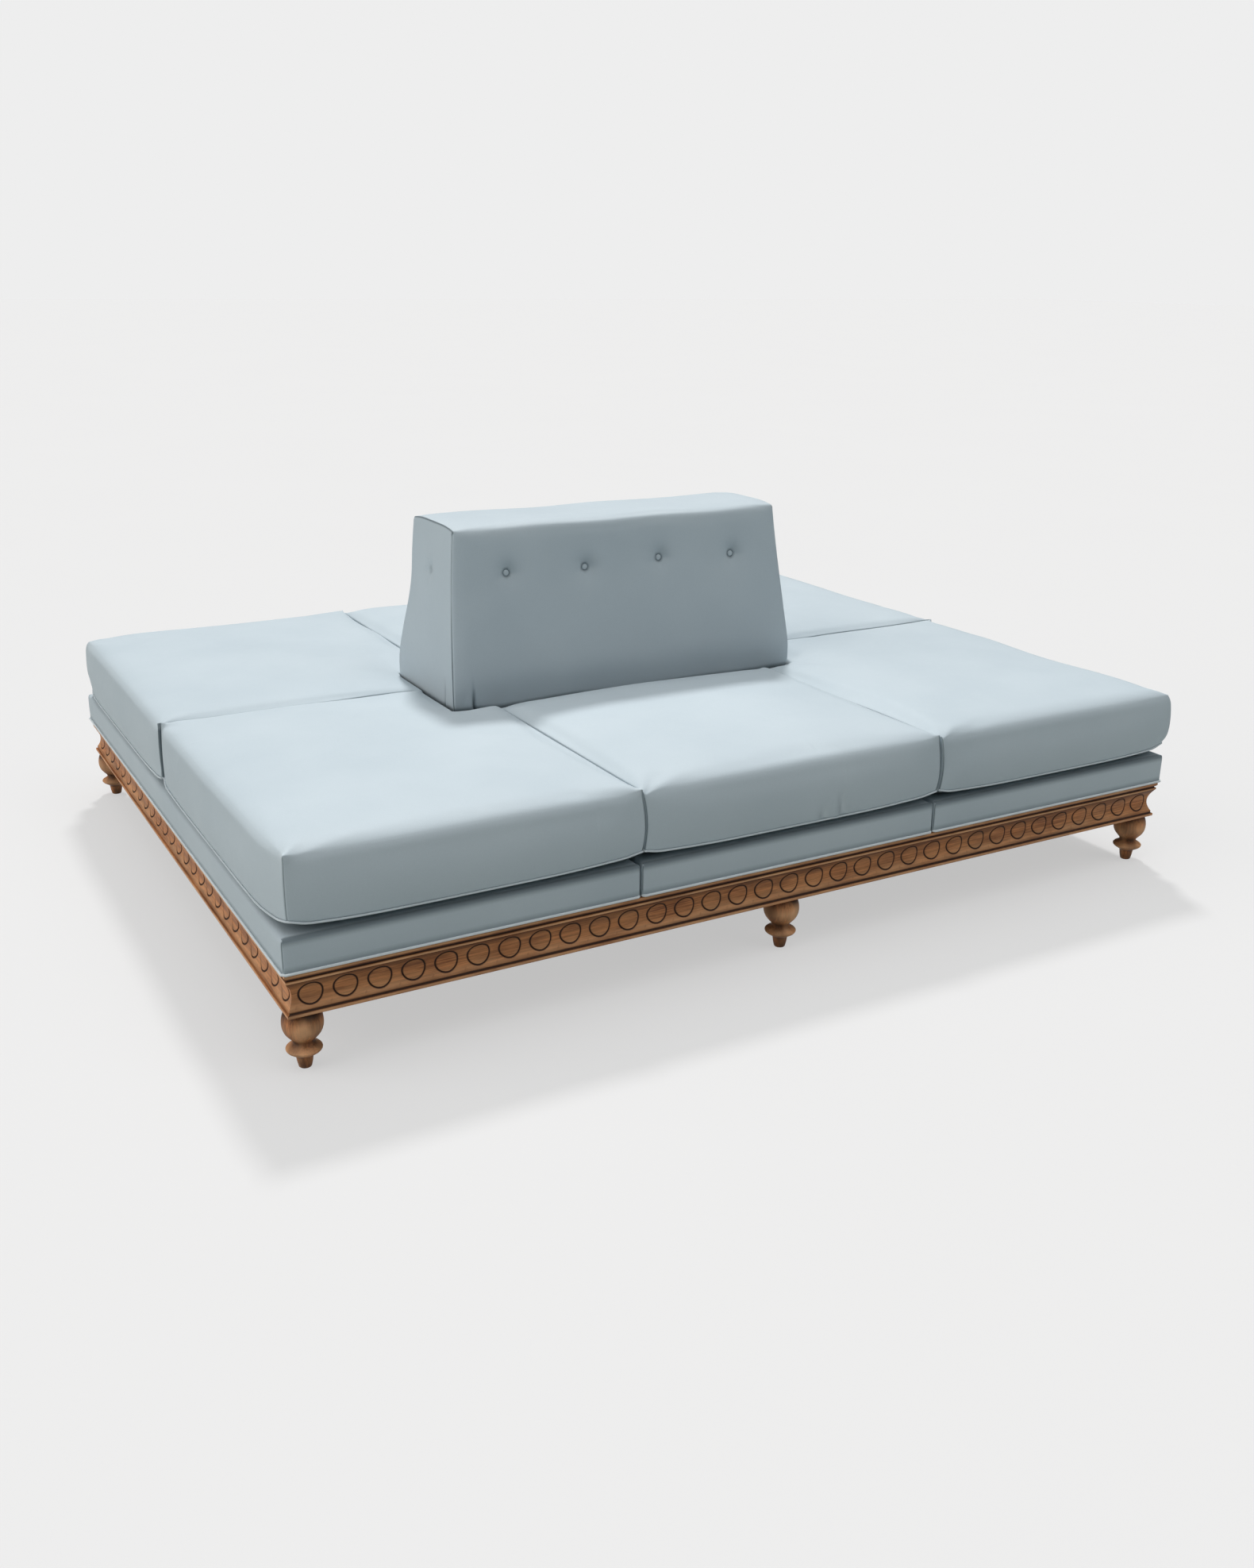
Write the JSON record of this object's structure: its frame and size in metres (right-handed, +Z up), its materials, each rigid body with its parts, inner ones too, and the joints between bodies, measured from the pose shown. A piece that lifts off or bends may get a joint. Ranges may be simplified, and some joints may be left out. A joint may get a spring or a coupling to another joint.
{
  "type": "double-sided sofa",
  "caption": "Double-sided island sofa: a carved wooden plinth on turned feet, upholstered decks, loose lift-off seat cushions and a tufted wedge backrest in the centre.",
  "frame": {"origin": "on the floor, under the centre of the sofa", "axes": "+X along the length, to the right when the front long side is faced; +Y across the depth, from the front long side to the back one; +Z up"},
  "size_m": [2.4146, 1.9146, 0.9017],
  "materials": {
    "carved_wood": "stained hardwood, worn pale on its edges and dark in its grooves",
    "bare_wood": "planed softwood",
    "plywood": "sanded plywood",
    "upholstery": "smooth pale blue-grey upholstery with a soft sheen",
    "zinc_steel": "zinc plated"
  },
  "bodies": {
    "base": {"backrest_back_panel": "plywood", "backrest_base_board": "plywood", "backrest_bolt_back_left": "zinc_steel", "backrest_bolt_back_right": "zinc_steel", "backrest_bolt_front_left": "zinc_steel", "backrest_bolt_front_right": "zinc_steel", "backrest_centre_rib": "plywood", "backrest_cover": "upholstery", "backrest_end_panel_left": "plywood", "backrest_end_panel_right": "plywood", "backrest_front_panel": "plywood", "backrest_top_board": "plywood", "button_back_1": "upholstery", "button_back_2": "upholstery", "button_back_3": "upholstery", "button_back_4": "upholstery", "button_end_left": "upholstery", "button_end_right": "upholstery", "button_front_1": "upholstery", "button_front_2": "upholstery", "button_front_3": "upholstery", "button_front_4": "upholstery", "cross_beam_left": "bare_wood", "cross_beam_right": "bare_wood", "deck_board_left": "plywood", "deck_board_middle": "plywood", "deck_board_right": "plywood", "deck_pad_left": "upholstery", "deck_pad_middle": "upholstery", "deck_pad_right": "upholstery", "foot_back_left": "carved_wood", "foot_back_middle": "carved_wood", "foot_back_right": "carved_wood", "foot_block_back_left": "bare_wood", "foot_block_back_middle": "bare_wood", "foot_block_back_right": "bare_wood", "foot_block_front_left": "bare_wood", "foot_block_front_middle": "bare_wood", "foot_block_front_right": "bare_wood", "foot_front_left": "carved_wood", "foot_front_middle": "carved_wood", "foot_front_right": "carved_wood", "plinth_rail_back": "carved_wood", "plinth_rail_front": "carved_wood", "plinth_rail_left": "carved_wood", "plinth_rail_right": "carved_wood", "spine_beam_left": "bare_wood", "spine_beam_middle": "bare_wood", "spine_beam_right": "bare_wood"},
    "cushion_back_left": {"seat_cushion_back_left": "upholstery"},
    "cushion_back_middle": {"seat_cushion_back_middle": "upholstery"},
    "cushion_back_right": {"seat_cushion_back_right": "upholstery"},
    "cushion_front_left": {"seat_cushion_front_left": "upholstery"},
    "cushion_front_middle": {"seat_cushion_front_middle": "upholstery"},
    "cushion_front_right": {"seat_cushion_front_right": "upholstery"}
  },
  "joints": [
    {"name": "cushion_back_left_lift", "type": "slide", "parent": "base", "child": "cushion_back_left", "axis": [0, 0, 1], "range_m": [0, 0.25]},
    {"name": "cushion_back_middle_lift", "type": "slide", "parent": "base", "child": "cushion_back_middle", "axis": [0, 0, 1], "range_m": [0, 0.25]},
    {"name": "cushion_back_right_lift", "type": "slide", "parent": "base", "child": "cushion_back_right", "axis": [0, 0, 1], "range_m": [0, 0.25]},
    {"name": "cushion_front_left_lift", "type": "slide", "parent": "base", "child": "cushion_front_left", "axis": [0, 0, 1], "range_m": [0, 0.25]},
    {"name": "cushion_front_middle_lift", "type": "slide", "parent": "base", "child": "cushion_front_middle", "axis": [0, 0, 1], "range_m": [0, 0.25]},
    {"name": "cushion_front_right_lift", "type": "slide", "parent": "base", "child": "cushion_front_right", "axis": [0, 0, 1], "range_m": [0, 0.25]}
  ]
}
